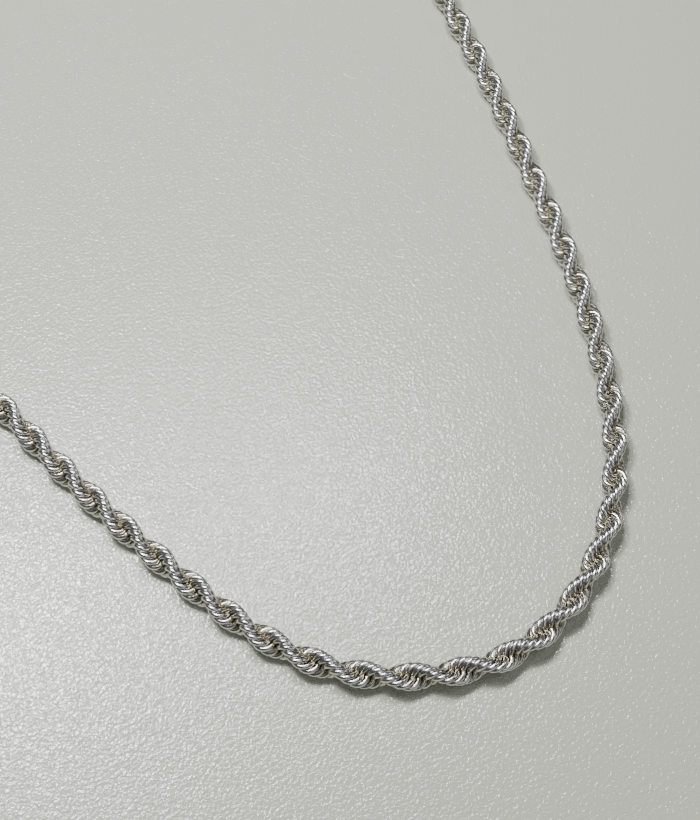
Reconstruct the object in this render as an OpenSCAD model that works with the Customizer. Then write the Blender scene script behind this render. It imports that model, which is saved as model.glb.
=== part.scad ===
// Rope chain necklace, closed and laid flat, in millimetres
// The origin is under the middle of the loop, on the surface it lies on
// +Z is up, +Y points to the clasp at the back of the neck, and -Y to the front of the loop

/* [Loop] */
// Width of the route that the rope's centre line follows, between its outermost points
loop_w = 114.5; // [95:0.5:180]
// Length of that route, from the clasp to the front
loop_l = 190.5; // [150:0.5:300]

/* [Rope] */
// Width of the rope across its two strands
chain_w = 4; // [2.5:0.1:8]
// Width of the rope at its waist, where one strand lies behind the other
waist_w = 2.5; // [1.5:0.1:4]
// Length in which the two strands go round each other once
turn_len = 13.4; // [9:0.1:24]
// Angle of the first strand at the middle of the clasp
turn_start = 79; // [0:1:359]

/* [End caps] */
// Room between the rope and the bore of an end cap
cap_room = 0.05; // [0.02:0.01:0.2]
// Wall of an end cap
cap_wall = 0.3; // [0.2:0.05:0.8]
// Depth of the bore that takes the end of the rope
cap_depth = 5; // [3:0.5:8]
// Thickness of the closed end of a cap
cap_end = 0.8; // [0.6:0.1:1.5]
// Height of the slope round the closed end of a cap
cap_slope = 0.4; // [0.1:0.1:0.5]

/* [Eyes and links] */
// Wire of the eyes on the caps and on the clasp
eye_wire = 0.9; // [0.6:0.05:1.2]
// Opening of an eye
eye_hole = 1.6; // [1.4:0.1:3]
// How deep an eye is let into the metal that it is soldered to
eye_seat = 0.35; // [0.2:0.05:0.5]
// Wire of the two jump rings
link_wire = 0.9; // [0.6:0.05:1.2]
// Room between the two eyes that a jump ring joins
link_room = 0.4; // [0.2:0.1:2]

/* [Clasp] */
// Length of the barrel without its eyes
clasp_len = 9; // [6:0.5:16]
// Thickness of the barrel
clasp_d = 4.6; // [3:0.1:9]
// Thickness of the barrel at its two ends
clasp_end_d = 2.8; // [2:0.1:6]
// Length of the slope at each end of the barrel
clasp_slope = 2; // [1:0.1:3]
// Width of the parting line round the middle of the barrel
clasp_line = 0.3; // [0.1:0.1:1]
// Depth of the parting line
clasp_line_depth = 0.2; // [0.1:0.05:0.4]

/* [Lying] */
// Length in which the rope comes down from its end cap to the surface
settle_len = 24; // [10:1:60]

/* [Hidden] */
$fn = 48;

// Control points of the loop's centre line, seen from above, before they are stretched to its size
// They start at the clasp and run down the +X side, round the front and up the -X side
ROUTE = [
    [0, 94.5], [14, 94.5], [28, 94.5], [41.5, 88.5], [51.5, 77], [56.5, 61], [57, 43],
    [55, 26], [51, 10.5], [49, -7.5], [45.5, -24.5], [42.5, -40.5], [38.5, -55.5],
    [33.5, -69.5], [26, -82], [15.5, -91.5], [2, -96], [-9.5, -93], [-20.5, -87],
    [-28, -77], [-33, -65], [-37.5, -52.5], [-41.5, -39], [-45, -24.5], [-49.5, -10],
    [-53, 6], [-56, 24], [-57.5, 43], [-56.5, 61], [-51.5, 77], [-41.5, 88.5],
    [-28, 94.5], [-14, 94.5]
];
// Points of the centre line between two control points
ROUTE_STEPS = 16;
// Corners of the rope's section, and its sections in one turn
SECTION_SIDES = 10;
SECTIONS_PER_TURN = 10;
// Length over which the direction of the route is read
AIM_LEN = 3;

// Sizes of the pieces at the clasp
eye_r = (eye_hole + eye_wire) / 2;
eye_out = eye_r + eye_wire / 2 - eye_seat;
link_r = eye_r + (eye_wire + link_room) / 2;
cap_bore_r = chain_w / 2 + cap_room;
cap_r = cap_bore_r + cap_wall;

// Heights of the centre line: at the clasp its thickest piece rests on the surface
clasp_z = max(cap_r, clasp_d / 2, link_r + link_wire / 2);
chain_z = chain_w / 2;

// Places along the centre line, counted from the middle of the clasp
clasp_eye_s = clasp_len / 2 + eye_out;
link_s = clasp_eye_s + link_r;
cap_eye_s = link_s + link_r;
cap_s = cap_eye_s + eye_out;
chain_s = cap_s + cap_end + cap_room;
cap_mouth_s = cap_s + cap_end + cap_depth;

// Control points at the size of this loop
function span(values) = max(values) - min(values);
stretch_x = loop_w / span([for (p = ROUTE) p.x]);
stretch_y = loop_l / span([for (p = ROUTE) p.y]);
route = [for (p = ROUTE) [p.x * stretch_x, p.y * stretch_y]];

// Point of a smooth closed curve through the stretch i of the control points
function wrap(i) = (i + len(route)) % len(route);
function blend_points(i, t) = (
    route[wrap(i - 1)] * pow(1 - t, 3)
    + route[i] * (3 * pow(t, 3) - 6 * pow(t, 2) + 4)
    + route[wrap(i + 1)] * (-3 * pow(t, 3) + 3 * pow(t, 2) + 3 * t + 1)
    + route[wrap(i + 2)] * pow(t, 3)
) / 6;
line = [for (i = [0 : len(route) - 1], k = [0 : ROUTE_STEPS - 1]) blend_points(i, k / ROUTE_STEPS)];
line_n = len(line);

// Length run from the clasp to each point of the line, and the line's whole length
line_s = [for (i = 0, s = 0; i <= line_n;
               s = s + norm(line[(i + 1) % line_n] - line[i % line_n]), i = i + 1) s];
loop_len = line_s[line_n];
line_x = [for (i = [0 : line_n]) [line_s[i], line[i % line_n].x]];
line_y = [for (i = [0 : line_n]) [line_s[i], line[i % line_n].y]];

// Place and direction of the centre line at the length s
function height_at(s) =
    let (from_clasp = min(s, loop_len - s),
         share = min(max((from_clasp - cap_mouth_s) / settle_len, 0), 1))
    chain_z + (clasp_z - chain_z) * (1 + cos(180 * share)) / 2;
function place(s) = [lookup(s, line_x), lookup(s, line_y), height_at(s)];
function heading(s) =
    let (d = place(s + AIM_LEN / 2) - place(s - AIM_LEN / 2))
    atan2(d.y, d.x);

// Radius of the rope in the direction a from a strand's crest: crests at 0 and 180, waists between
function rope_r(a) = waist_w / 2 + (chain_w - waist_w) / 2 * pow(cos(a), 2);

// Corner of the section at the length s, in the direction a from the first strand's crest
function corner(s, a) =
    let (turned = a + turn_start + 360 * s / turn_len,
         side = heading(s) + 90,
         out = rope_r(a) * cos(turned),
         up = rope_r(a) * sin(turned))
    place(s) + [out * cos(side), out * sin(side), up];

// Twisted rope from the length s_from to the length s_to, with flat ends
module rope(s_from, s_to) {
    steps = ceil((s_to - s_from) * SECTIONS_PER_TURN / turn_len);
    n = SECTION_SIDES;
    points = [for (i = [0 : steps], k = [0 : n - 1])
        corner(s_from + (s_to - s_from) * i / steps, 360 * k / n)];
    sides = [for (i = [0 : steps - 1], k = [0 : n - 1], half = [0, 1])
        let (a = i * n + k, b = i * n + (k + 1) % n)
        half == 0 ? [a, b, b + n] : [a, b + n, a + n]];
    first_end = [for (k = [n - 1 : -1 : 0]) k];
    last_end = [for (k = [0 : n - 1]) steps * n + k];
    color("silver")
    polyhedron(points, concat([first_end, last_end], sides));
}

// Round wire bent into a ring of radius r
module ring(r, wire) {
    rotate_extrude() translate([r, 0]) circle(d = wire);
}

// Moves a piece to the middle of the clasp, where the line runs along X
module at_clasp() {
    translate([route[0].x, route[0].y, clasp_z]) children();
}

// Cup that holds the end of the rope, with its eye towards the clasp
module end_cap() {
    color("silver")
    at_clasp()
    difference() {
        union() {
            translate([cap_s, 0, 0]) rotate([0, 90, 0]) {
                cylinder(h = cap_slope, r1 = cap_r - cap_slope, r2 = cap_r);
                translate([0, 0, cap_slope]) cylinder(h = cap_end + cap_depth - cap_slope, r = cap_r);
            }
            translate([cap_eye_s, 0, 0]) ring(eye_r, eye_wire);
        }
        translate([cap_s + cap_end, 0, 0]) rotate([0, 90, 0]) cylinder(h = cap_depth + 1, r = cap_bore_r);
    }
}

// Jump ring, standing on its edge through an eye of a cap and an eye of the clasp
module jump_ring() {
    color("silver")
    at_clasp() translate([link_s, 0, 0]) rotate([90, 0, 0]) ring(link_r, link_wire);
}

// Half of the barrel, from its middle to the eye at its end
module half_barrel() {
    straight = clasp_len / 2 - clasp_slope;
    rotate([0, 90, 0]) {
        cylinder(h = clasp_line / 2, r = clasp_d / 2 - clasp_line_depth);
        translate([0, 0, clasp_line / 2]) cylinder(h = straight - clasp_line / 2, d = clasp_d);
        translate([0, 0, straight]) cylinder(h = clasp_slope, d1 = clasp_d, d2 = clasp_end_d);
    }
    translate([clasp_eye_s, 0, 0]) ring(eye_r, eye_wire);
}

// Barrel clasp, shut, as one piece with an eye at each end
module clasp() {
    color("silver")
    at_clasp() {
        half_barrel();
        mirror([1, 0, 0]) half_barrel();
    }
}

module chain_right() rope(chain_s, loop_len / 2);
module chain_left() rope(loop_len / 2, loop_len - chain_s);

chain_right();
chain_left();
end_cap();  // end_cap_right
mirror([1, 0, 0]) end_cap();  // end_cap_left
jump_ring();  // jump_ring_right
mirror([1, 0, 0]) jump_ring();  // jump_ring_left
clasp();
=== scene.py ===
import math

import bpy
from mathutils import Matrix, Vector


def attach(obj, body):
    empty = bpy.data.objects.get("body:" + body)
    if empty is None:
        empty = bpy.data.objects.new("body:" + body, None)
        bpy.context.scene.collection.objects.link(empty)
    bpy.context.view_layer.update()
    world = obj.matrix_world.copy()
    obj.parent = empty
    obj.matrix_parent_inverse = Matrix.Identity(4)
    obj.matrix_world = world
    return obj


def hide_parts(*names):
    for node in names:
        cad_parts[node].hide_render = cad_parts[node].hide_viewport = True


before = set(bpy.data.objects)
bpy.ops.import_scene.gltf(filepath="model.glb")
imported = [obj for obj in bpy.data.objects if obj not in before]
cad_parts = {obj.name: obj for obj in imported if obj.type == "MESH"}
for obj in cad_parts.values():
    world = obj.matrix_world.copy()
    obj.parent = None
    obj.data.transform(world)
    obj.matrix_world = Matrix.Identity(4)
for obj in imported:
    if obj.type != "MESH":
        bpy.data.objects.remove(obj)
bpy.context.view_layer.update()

MM = 0.001

# The loop's route as the part has it, seen from above, in metres
# It starts at the clasp and runs down the +X side, round the front and up the -X side
ROUTE = [
    (0.0, 0.0945), (0.014, 0.0945), (0.028, 0.0945), (0.0415, 0.0885), (0.0515, 0.077),
    (0.0565, 0.061), (0.057, 0.043), (0.055, 0.026), (0.051, 0.0105), (0.049, -0.0075),
    (0.0455, -0.0245), (0.0425, -0.0405), (0.0385, -0.0555), (0.0335, -0.0695), (0.026, -0.082),
    (0.0155, -0.0915), (0.002, -0.096), (-0.0095, -0.093), (-0.0205, -0.087), (-0.028, -0.077),
    (-0.033, -0.065), (-0.0375, -0.0525), (-0.0415, -0.039), (-0.045, -0.0245), (-0.0495, -0.01),
    (-0.053, 0.006), (-0.056, 0.024), (-0.0575, 0.043), (-0.0565, 0.061), (-0.0515, 0.077),
    (-0.0415, 0.0885), (-0.028, 0.0945), (-0.014, 0.0945),
]
# Points of the rope's middle line between two points of the route
ROUTE_STEPS = 16

# The rope: its width, the length of one turn, and where its first strand starts
ROPE_W = 4 * MM
TURN_LEN = 13.4 * MM
TURN_START = math.radians(79)
# Lengths along the line from the middle of the clasp to the rope's end and to the mouth of its cap
ROPE_START = 11.85 * MM
CAP_MOUTH = 16.8 * MM
# Heights of the rope's middle in the cap and on the table, and the length in which it comes down
CLASP_Z = 2.35 * MM
ROPE_Z = 2.0 * MM
SETTLE_LEN = 24 * MM

# One link: its pitch along the strand, its wire, its radius to the middle of the wire, and how far
# its own middle lies off the rope's
LINK_PITCH = 0.8 * MM
LINK_WIRE = 0.76 * MM
LINK_R = 1.45 * MM
LINK_OUT = 0.17 * MM
# How a link stands: its tilt from square across the rope, the side that it leans to, and the most
# that its tilt is off
LINK_TILT = math.radians(77)
LINK_LEAN = math.radians(70)
LINK_PLAY = math.radians(3)
# A link sticks out most this far round the rope from its own middle, so it is set as far ahead
LINK_AHEAD = math.radians(18)
# Sides of the ring, and of its wire
LINK_SIDES = 16
WIRE_SIDES = 6
# Seeds of the links' tilts in the two halves of the rope
RIGHT_SEED = 3
LEFT_SEED = 17

# Sizes in the materials: patches from tumbling, marks of wear, and the dimples in the board's grain
PATCH_LEN = 3 * MM
WEAR_LEN = 0.8 * MM
DIMPLE_LEN = 0.5 * MM
DIMPLE_DEPTH = 0.1 * MM

TABLE_SIZE = 3.0

# The camera as it stood for the photograph: what it looks at, where it is and how it is rolled
TARGET = Vector((-0.0005, -0.0513, 0.002))
STAND = Vector((-0.05518, -0.1541, 0.22097))
ROLL = math.radians(-1)
# Its focal length in pixels, and the pixels along the long side of the picture
FOCAL_PIXELS = 1700
IMAGE_LONG_SIDE = 820
# Nothing nearer than this is seen
CLIP_START = 10 * MM

# The lights: how far each hangs to the right of the target, beyond it and above it, its width and
# depth, all in metres, and its power in watts
LIGHTS = (
    # Broad and high at the far left: the soft shadows, and the wide bright bands along the wires
    ("ceiling_light", -0.18, 0.19, 0.6, 0.3, 0.2, 1.9),
    # Small, lower and nearer: the bright spots on the links, and the sheen on the board
    ("counter_lamp", -0.115, 0.085, 0.3, 0.05, 0.05, 0.68),
    ("back_lamp", -0.03, 0.15, 0.3, 0.05, 0.05, 0.1),
    ("near_lamp", 0.0, 0.1, 0.25, 0.04, 0.04, 0.22),
    # Broad and weak at the right and in front: a little light on the dark sides of the links
    ("side_light", 0.5, 0.1, 0.5, 0.2, 0.2, 0.5),
    ("front_window", 0.1, -0.35, 0.5, 0.4, 0.4, 0.4),
)
ROOM_COLOUR = "#C8CBD2"
ROOM_STRENGTH = 0.12


def colour(code):
    """Linear colour of an sRGB hex code."""
    parts = [int(code[i:i + 2], 16) / 255 for i in (1, 3, 5)]
    linear = [v / 12.92 if v <= 0.04045 else ((v + 0.055) / 1.055) ** 2.4 for v in parts]
    return (*linear, 1.0)


def add(tree, kind, inputs=None, **settings):
    """New node of that kind. A socket given as an input is linked, and any other value is set."""
    node = tree.nodes.new(kind)
    for name, value in settings.items():
        setattr(node, name, value)
    for key, value in (inputs or {}).items():
        if isinstance(value, bpy.types.NodeSocket):
            tree.links.new(value, node.inputs[key])
        else:
            node.inputs[key].default_value = value
    return node


def new_material(name):
    """Empty material, its tree and its shader."""
    material = bpy.data.materials.new(name)
    material.use_nodes = True
    tree = material.node_tree
    tree.nodes.clear()
    shader = add(tree, "ShaderNodeBsdfPrincipled")
    add(tree, "ShaderNodeOutputMaterial", {"Surface": shader.outputs["BSDF"]})
    return material, tree, shader


def route_points():
    """Points of the closed curve that the route's control points steer, as in the part."""
    points = []
    count = len(ROUTE)
    for i in range(count):
        a, b, c, d = (Vector(ROUTE[(i + k) % count]) for k in (-1, 0, 1, 2))
        for step in range(ROUTE_STEPS):
            t = step / ROUTE_STEPS
            points.append((a * (1 - t) ** 3 + b * (3 * t ** 3 - 6 * t ** 2 + 4)
                           + c * (-3 * t ** 3 + 3 * t ** 2 + 3 * t + 1) + d * t ** 3) / 6)
    return points


# The rope's middle line seen from above, and the length run from the clasp to each of its points
line = route_points()
line_s = [0.0]
for here, there in zip(line, line[1:] + line[:1]):
    line_s.append(line_s[-1] + (there - here).length)
loop_len = line_s[-1]


def rope_height(s):
    """Height of the rope's middle: it comes down from its end cap to the table."""
    share = (min(s, loop_len - s) - CAP_MOUTH) / SETTLE_LEN
    share = min(max(share, 0.0), 1.0)
    return ROPE_Z + (CLASP_Z - ROPE_Z) * (1 + math.cos(math.pi * share)) / 2


def place(s):
    """Place of the rope's middle at the length s from the clasp."""
    k = next(i for i in range(len(line)) if line_s[i + 1] >= s)
    share = (s - line_s[k]) / (line_s[k + 1] - line_s[k])
    flat = line[k].lerp(line[(k + 1) % len(line)], share)
    return Vector((flat.x, flat.y, rope_height(s)))


def link_silver():
    """Sterling silver wire, drawn, soldered into links and tumbled to a polish.

    It mirrors the lights on every link. Its colour is painted darker and yellower towards the hollows
    between the strands: painted shade, and a painted yellow reflection of the links around them.
    """
    material, tree, shader = new_material("tumbled_silver_wire")
    depth = add(tree, "ShaderNodeAttribute", attribute_name="off_middle", attribute_type="GEOMETRY")
    # Painted shade and painted reflection: the base colour turns darker and yellower the nearer a
    # point lies to the rope's middle
    painted_hollow_shade = add(tree, "ShaderNodeValToRGB", {"Fac": depth.outputs["Fac"]})
    # The hollows lie near the rope's middle and the crests far off it, in shares of the rope's radius
    hollow, crest = painted_hollow_shade.color_ramp.elements
    hollow.position = 0.30
    hollow.color = colour("#C6BFA8")
    crest.position = 0.80
    crest.color = colour("#E0DEDE")
    tree.links.new(painted_hollow_shade.outputs["Color"], shader.inputs["Base Color"])
    # Tumbling leaves soft patches that shine a little more or less
    coords = add(tree, "ShaderNodeTexCoord")
    patches = add(tree, "ShaderNodeTexNoise",
                  {"Vector": coords.outputs["Object"], "Scale": 1 / PATCH_LEN, "Detail": 2.0})
    rough = add(tree, "ShaderNodeMapRange",
                {"Value": patches.outputs["Fac"], "To Min": 0.17, "To Max": 0.27})
    tree.links.new(rough.outputs["Result"], shader.inputs["Roughness"])
    shader.inputs["Metallic"].default_value = 1.0
    return material


def finding_silver():
    """Sterling silver, cast and turned, then buffed.

    Its plain shapes shine more evenly than the links, and fine wear breaks the shine a little.
    """
    material, tree, shader = new_material("buffed_silver")
    coords = add(tree, "ShaderNodeTexCoord")
    wear = add(tree, "ShaderNodeTexNoise",
               {"Vector": coords.outputs["Object"], "Scale": 1 / WEAR_LEN, "Detail": 4.0})
    rough = add(tree, "ShaderNodeMapRange",
                {"Value": wear.outputs["Fac"], "To Min": 0.12, "To Max": 0.26})
    tree.links.new(rough.outputs["Result"], shader.inputs["Roughness"])
    shader.inputs["Base Color"].default_value = colour("#E9E7E4")
    shader.inputs["Metallic"].default_value = 1.0
    return material


def table_board():
    """Board with a satin laminate pressed with a fine leather grain, as on a jeweller's counter.

    It is plain and pale, and the grain breaks the sheen of the lights into small soft flecks.
    """
    material, tree, shader = new_material("grained_laminate_board")
    coords = add(tree, "ShaderNodeTexCoord")
    grain = add(tree, "ShaderNodeTexNoise",
                {"Vector": coords.outputs["Object"], "Scale": 1 / DIMPLE_LEN, "Detail": 1.0,
                 "Roughness": 0.4, "Distortion": 0.6})
    relief = add(tree, "ShaderNodeBump",
                 {"Height": grain.outputs["Fac"], "Strength": 1.0, "Distance": DIMPLE_DEPTH})
    tree.links.new(relief.outputs["Normal"], shader.inputs["Normal"])
    shader.inputs["Base Color"].default_value = colour("#C6C9BA")
    shader.inputs["Roughness"].default_value = 0.13
    return material


silver_wire = link_silver()
silver_finding = finding_silver()
board = table_board()


def link_shape(tree, given):
    """One link: a round wire bent into a ring."""
    bend = add(tree, "GeometryNodeCurvePrimitiveCircle",
               {"Resolution": LINK_SIDES, "Radius": given["Link radius"]})
    wire_r = add(tree, "ShaderNodeMath", {0: given["Wire"], 1: 0.5}, operation="MULTIPLY")
    section = add(tree, "GeometryNodeCurvePrimitiveCircle",
                  {"Resolution": WIRE_SIDES, "Radius": wire_r.outputs[0]})
    link = add(tree, "GeometryNodeCurveToMesh",
               {"Curve": bend.outputs["Curve"], "Profile Curve": section.outputs["Curve"]})
    return link.outputs["Mesh"]


def links_of_strand(tree, given, spots, link, strand):
    """The links of one strand, 0 or 1, on the spots along the rope's middle line.

    The second strand lies opposite the first, and its links sit between those of the first.
    """
    along = add(tree, "GeometryNodeInputTangent").outputs["Tangent"]
    run = add(tree, "GeometryNodeSplineParameter").outputs["Length"]
    level = add(tree, "ShaderNodeVectorMath", {0: (0.0, 0.0, 1.0), 1: along},
                operation="CROSS_PRODUCT")
    left = add(tree, "ShaderNodeVectorMath", {0: level.outputs["Vector"]}, operation="NORMALIZE")

    def turned(angle):
        """The direction to the left of the rope, turned about the rope by the angle."""
        turn = add(tree, "FunctionNodeAxisAngleToRotation", {"Axis": along, "Angle": angle})
        moved = add(tree, "FunctionNodeRotateVector",
                    {"Vector": left.outputs["Vector"], "Rotation": turn.outputs["Rotation"]})
        return moved.outputs["Vector"]

    # How far round the rope the strand lies at each link
    shift = add(tree, "ShaderNodeMath", {0: given["Link pitch"], 1: 0.5 * strand},
                operation="MULTIPLY")
    length = add(tree, "ShaderNodeMath", {0: run, 1: shift.outputs[0]}, operation="ADD")
    turns = add(tree, "ShaderNodeMath", {0: length.outputs[0], 1: given["Turn length"]},
                operation="DIVIDE")
    wound = add(tree, "ShaderNodeMath",
                {0: turns.outputs[0], 1: math.tau, 2: given["Start angle"]},
                operation="MULTIPLY_ADD")
    side = add(tree, "ShaderNodeMath", {0: wound.outputs[0], 1: math.pi * strand}, operation="ADD")

    # How far a link is tilted, with a little play of its own
    # A random number has its least, its most and its seed in sockets 2, 3 and 8, and comes out of 1
    least = add(tree, "ShaderNodeMath", {0: given["Play"], 1: -1.0}, operation="MULTIPLY")
    seed = add(tree, "ShaderNodeMath", {0: given["Seed"], 1: strand}, operation="ADD")
    play = add(tree, "FunctionNodeRandomValue",
               {2: least.outputs[0], 3: given["Play"], 8: seed.outputs[0]}, data_type="FLOAT")
    tilt = add(tree, "ShaderNodeMath", {0: given["Tilt"], 1: play.outputs[1]}, operation="ADD")
    tilt_sine = add(tree, "ShaderNodeMath", {0: tilt.outputs[0]}, operation="SINE")
    tilt_cosine = add(tree, "ShaderNodeMath", {0: tilt.outputs[0]}, operation="COSINE")

    # The axis of the link, and a direction square to it that keeps the link from spinning
    lean = add(tree, "ShaderNodeMath", {0: side.outputs[0], 1: given["Lean"]}, operation="ADD")
    square = add(tree, "ShaderNodeMath", {0: lean.outputs[0], 1: math.pi / 2},
                 operation="SUBTRACT")
    part_across = add(tree, "ShaderNodeVectorMath",
                      {0: turned(lean.outputs[0]), "Scale": tilt_sine.outputs[0]},
                      operation="SCALE")
    part_along = add(tree, "ShaderNodeVectorMath",
                     {0: along, "Scale": tilt_cosine.outputs[0]}, operation="SCALE")
    axis = add(tree, "ShaderNodeVectorMath",
               {0: part_across.outputs["Vector"], 1: part_along.outputs["Vector"]},
               operation="ADD")
    stance = add(tree, "FunctionNodeAxesToRotation",
                 {"Primary Axis": axis.outputs["Vector"],
                  "Secondary Axis": turned(square.outputs[0])},
                 primary_axis="Z", secondary_axis="X")

    # The strand's points, each with its place on the middle line, the line's direction there and
    # the way out to the strand
    forward = add(tree, "ShaderNodeVectorMath", {0: along, "Scale": shift.outputs[0]},
                  operation="SCALE")
    points = add(tree, "GeometryNodeSetPosition",
                 {"Geometry": spots, "Offset": forward.outputs["Vector"]})
    here = add(tree, "GeometryNodeInputPosition")
    outward = add(tree, "ShaderNodeVectorMath",
                  {0: turned(side.outputs[0]), "Scale": given["Link out"]}, operation="SCALE")
    for name, value in (("middle", here.outputs["Position"]), ("along", along),
                        ("outward", outward.outputs["Vector"])):
        points = add(tree, "GeometryNodeStoreNamedAttribute",
                     {"Geometry": points.outputs["Geometry"], "Name": name, "Value": value},
                     data_type="FLOAT_VECTOR", domain="POINT")

    # A link on each point, moved out to its own side of the rope
    links = add(tree, "GeometryNodeInstanceOnPoints",
                {"Points": points.outputs["Geometry"], "Instance": link,
                 "Rotation": stance.outputs["Rotation"]})
    own_side = add(tree, "GeometryNodeInputNamedAttribute", {"Name": "outward"},
                   data_type="FLOAT_VECTOR")
    placed = add(tree, "GeometryNodeTranslateInstances",
                 {"Instances": links.outputs["Instances"],
                  "Translation": own_side.outputs["Attribute"], "Local Space": False})
    return placed.outputs["Instances"]


def with_depth(tree, given, links):
    """The links with an attribute for how far each point lies off the rope's middle.

    It is a share of the rope's radius. The attributes that only the tree needs are taken off.
    """
    position = add(tree, "GeometryNodeInputPosition")
    middle = add(tree, "GeometryNodeInputNamedAttribute", {"Name": "middle"},
                 data_type="FLOAT_VECTOR")
    along = add(tree, "GeometryNodeInputNamedAttribute", {"Name": "along"},
                data_type="FLOAT_VECTOR")
    apart = add(tree, "ShaderNodeVectorMath",
                {0: position.outputs["Position"], 1: middle.outputs["Attribute"]},
                operation="SUBTRACT")
    sideways = add(tree, "ShaderNodeVectorMath",
                   {0: apart.outputs["Vector"], 1: along.outputs["Attribute"]},
                   operation="CROSS_PRODUCT")
    distance = add(tree, "ShaderNodeVectorMath", {0: sideways.outputs["Vector"]},
                   operation="LENGTH")
    share = add(tree, "ShaderNodeMath", {0: distance.outputs["Value"], 1: given["Rope radius"]},
                operation="DIVIDE")
    done = add(tree, "GeometryNodeStoreNamedAttribute",
               {"Geometry": links, "Name": "off_middle", "Value": share.outputs[0]},
               data_type="FLOAT", domain="POINT")
    for name in ("middle", "along", "outward"):
        done = add(tree, "GeometryNodeRemoveAttribute",
                   {"Geometry": done.outputs["Geometry"], "Name": name})
    return done.outputs["Geometry"]


def link_tree():
    """Geometry Nodes: two strands of round links along the line that they are given."""
    tree = bpy.data.node_groups.new("rope links", "GeometryNodeTree")
    sockets = tree.interface
    sockets.new_socket("Line", in_out="INPUT", socket_type="NodeSocketGeometry")
    for name, kind in (
        ("Links in a strand", "NodeSocketInt"),
        ("Link pitch", "NodeSocketFloat"),
        ("Link radius", "NodeSocketFloat"),
        ("Wire", "NodeSocketFloat"),
        ("Link out", "NodeSocketFloat"),
        ("Tilt", "NodeSocketFloat"),
        ("Lean", "NodeSocketFloat"),
        ("Play", "NodeSocketFloat"),
        ("Turn length", "NodeSocketFloat"),
        ("Start angle", "NodeSocketFloat"),
        ("Rope radius", "NodeSocketFloat"),
        ("Seed", "NodeSocketInt"),
        ("Metal", "NodeSocketMaterial"),
    ):
        sockets.new_socket(name, in_out="INPUT", socket_type=kind)
    sockets.new_socket("Links", in_out="OUTPUT", socket_type="NodeSocketGeometry")

    given = add(tree, "NodeGroupInput").outputs
    link = link_shape(tree, given)
    curve = add(tree, "GeometryNodeMeshToCurve", {"Mesh": given["Line"]})
    spots = add(tree, "GeometryNodeResampleCurve",
                {"Curve": curve.outputs["Curve"], "Count": given["Links in a strand"]},
                mode="COUNT").outputs["Curve"]
    strands = [links_of_strand(tree, given, spots, link, strand) for strand in (0, 1)]
    both = add(tree, "GeometryNodeJoinGeometry")
    # A join puts the last one linked first
    for strand in reversed(strands):
        tree.links.new(strand, both.inputs["Geometry"])
    real = add(tree, "GeometryNodeRealizeInstances", {"Geometry": both.outputs["Geometry"]})
    smooth = add(tree, "GeometryNodeSetShadeSmooth",
                 {"Geometry": with_depth(tree, given, real.outputs["Geometry"])})
    metal = add(tree, "GeometryNodeSetMaterial",
                {"Geometry": smooth.outputs["Geometry"], "Material": given["Metal"]})
    add(tree, "NodeGroupOutput", {"Links": metal.outputs["Geometry"]})
    return tree


def rope(name, tree, s_from, count, pitch, seed):
    """One half of the rope as a plain mesh of links, from the length s_from on."""
    points = [place(s_from + pitch * i) for i in range(count)]
    middle_line = bpy.data.meshes.new(name + "_line")
    middle_line.from_pydata(points, [(i, i + 1) for i in range(count - 1)], [])
    holder = bpy.data.objects.new(name + "_line", middle_line)
    bpy.context.scene.collection.objects.link(holder)
    modifier = holder.modifiers.new("rope links", "NODES")
    modifier.node_group = tree
    values = {
        "Links in a strand": count,
        "Link pitch": pitch,
        "Link radius": LINK_R,
        "Wire": LINK_WIRE,
        "Link out": LINK_OUT,
        "Tilt": LINK_TILT,
        "Lean": LINK_LEAN,
        "Play": LINK_PLAY,
        "Turn length": TURN_LEN,
        "Start angle": TURN_START + LINK_AHEAD + math.tau * s_from / TURN_LEN,
        "Rope radius": ROPE_W / 2,
        "Seed": seed,
        "Metal": silver_wire,
    }
    for item in tree.interface.items_tree:
        if item.in_out == "INPUT" and item.name in values:
            modifier[item.identifier] = values[item.name]
    bpy.context.view_layer.update()
    seen = holder.evaluated_get(bpy.context.evaluated_depsgraph_get())
    mesh = bpy.data.meshes.new_from_object(seen)
    holder.modifiers.clear()
    bpy.data.objects.remove(holder)
    bpy.data.meshes.remove(middle_line)
    piece = bpy.data.objects.new(name, mesh)
    bpy.context.scene.collection.objects.link(piece)
    return piece


# The outermost link of a strand stays clear of the closed end of its cap
link_reach = LINK_R * math.sin(LINK_TILT) + LINK_WIRE
first_s = ROPE_START + link_reach
half_len = loop_len / 2 - first_s
links_per_half = round(half_len / LINK_PITCH)
pitch = half_len / links_per_half

tree = link_tree()
links_right = rope("links_right", tree, first_s, links_per_half, pitch, RIGHT_SEED)
links_left = rope("links_left", tree, loop_len / 2, links_per_half, pitch, LEFT_SEED)

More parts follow.
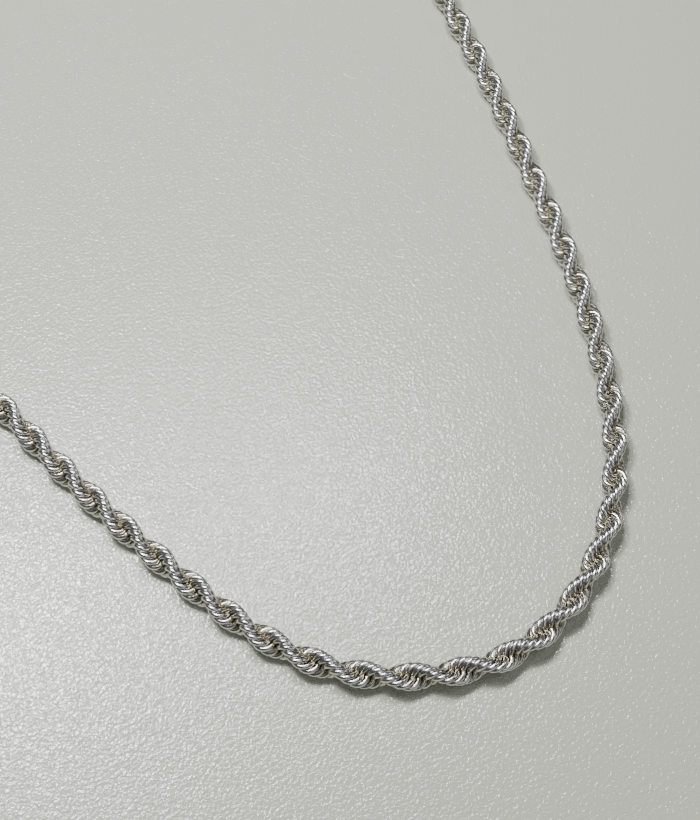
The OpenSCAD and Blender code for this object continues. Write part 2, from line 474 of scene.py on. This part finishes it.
for piece, node in ((links_right, "chain_right"), (links_left, "chain_left")):
    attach(piece, "root")
    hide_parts(node)

# The caps, jump rings and clasp keep the part's shapes
for node in ("end_cap_right", "end_cap_left", "jump_ring_right", "jump_ring_left", "clasp"):
    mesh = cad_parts[node].data
    for slot in range(len(mesh.materials)):
        mesh.materials[slot] = silver_finding

# The table that the necklace lies on
bpy.ops.mesh.primitive_plane_add(size=TABLE_SIZE)
table = bpy.context.object
table.name = "table"
table.data.materials.append(board)

# The camera's own directions, before its roll and after it
look = (TARGET - STAND).normalized()
right = look.cross(Vector((0, 0, 1))).normalized()
up = right.cross(look)
rolled_right = right * math.cos(ROLL) + up * math.sin(ROLL)
rolled_up = up * math.cos(ROLL) - right * math.sin(ROLL)

camera_data = bpy.data.cameras.new("camera")
camera_data.lens = FOCAL_PIXELS / IMAGE_LONG_SIDE * camera_data.sensor_width
camera_data.clip_start = CLIP_START
camera = bpy.data.objects.new("camera", camera_data)
bpy.context.scene.collection.objects.link(camera)
turn = Matrix((rolled_right, rolled_up, -look)).transposed().to_4x4()
camera.matrix_world = Matrix.Translation(STAND) @ turn
bpy.context.scene.camera = camera

# The direction away from the camera, along the table
away_from_camera = Vector((look.x, look.y, 0)).normalized()


def soft_light(name, side, away, height, width, depth, power):
    """Area light that hangs this far from the target and is aimed at it."""
    data = bpy.data.lights.new(name, "AREA")
    data.shape = "RECTANGLE"
    data.size = width
    data.size_y = depth
    data.energy = power
    light = bpy.data.objects.new(name, data)
    bpy.context.scene.collection.objects.link(light)
    light.location = TARGET + right * side + away_from_camera * away + Vector((0, 0, height))
    light.rotation_euler = (TARGET - light.location).to_track_quat("-Z", "Y").to_euler()


for light in LIGHTS:
    soft_light(*light)

world = bpy.data.worlds.new("room")
bpy.context.scene.world = world
world.use_nodes = True
world.node_tree.nodes.clear()
room = add(world.node_tree, "ShaderNodeBackground",
           {"Color": colour(ROOM_COLOUR), "Strength": ROOM_STRENGTH})
add(world.node_tree, "ShaderNodeOutputWorld", {"Surface": room.outputs["Background"]})
